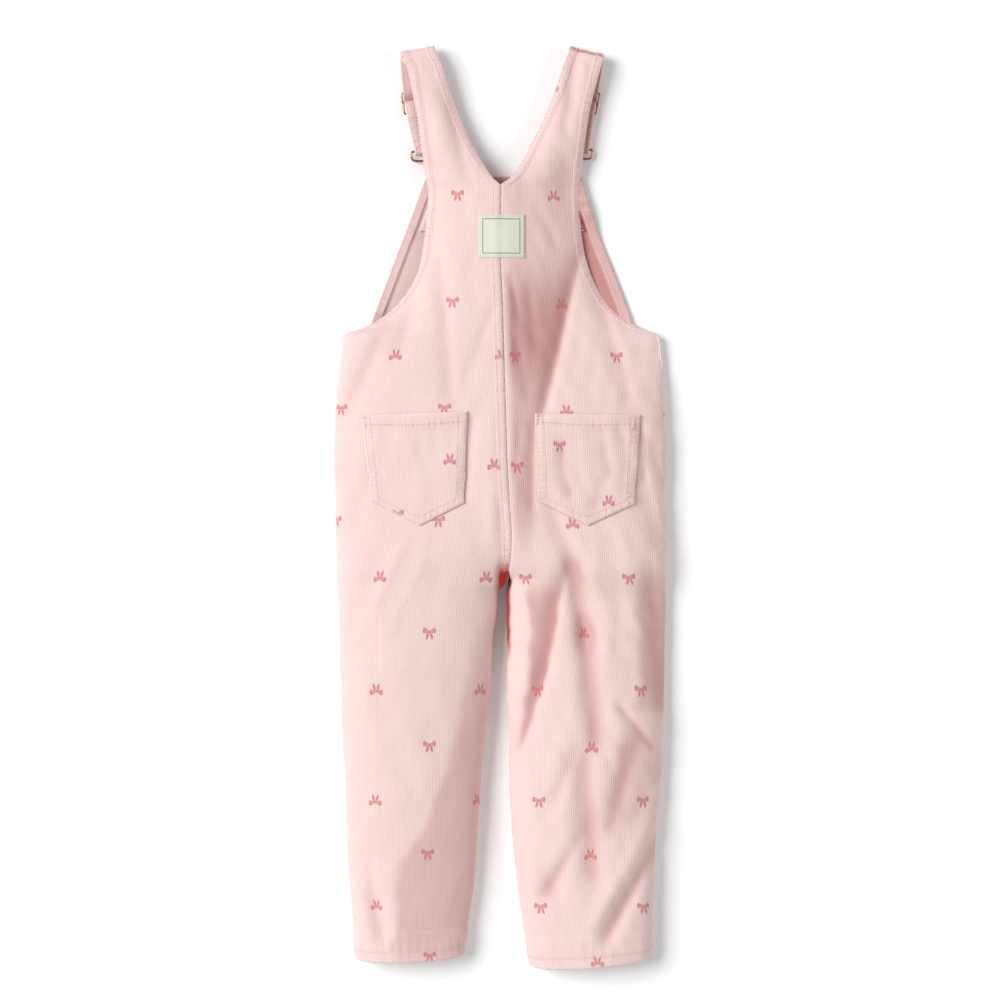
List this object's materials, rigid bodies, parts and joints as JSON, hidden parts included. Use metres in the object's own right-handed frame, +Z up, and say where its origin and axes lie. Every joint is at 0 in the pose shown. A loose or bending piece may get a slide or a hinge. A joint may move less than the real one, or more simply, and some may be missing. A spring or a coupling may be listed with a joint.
{
  "type": "toddler overalls",
  "caption": "Fine-wale corduroy toddler overalls laid flat on their front, back up, with patch pockets, shoulder straps, wire slides and buckles.",
  "frame": {"origin": "on the surface that the garment lies on, below the middle of its outline", "axes": "+Y from the hems to the shoulders, +X to the right as seen from above, +Z up from the surface; the garment's back faces +Z"},
  "size_m": [0.2611, 0.7227, 0.0369],
  "materials": {
    "corduroy": "soft fine-wale corduroy, pale pink with small bows",
    "label": "flat woven label, cream",
    "hardware": "polished copper-coloured plating"
  },
  "bodies": {
    "root": {"back_left": "corduroy", "back_right": "corduroy", "front_left": "corduroy", "front_right": "corduroy", "bib": "corduroy", "bib_facing": "corduroy", "pocket_left": "corduroy", "pocket_right": "corduroy", "label": "label", "slide_left": "hardware", "slide_right": "hardware", "buckle_left": "hardware", "buckle_right": "hardware", "button_left": "hardware", "button_right": "hardware"}
  },
  "joints": []
}
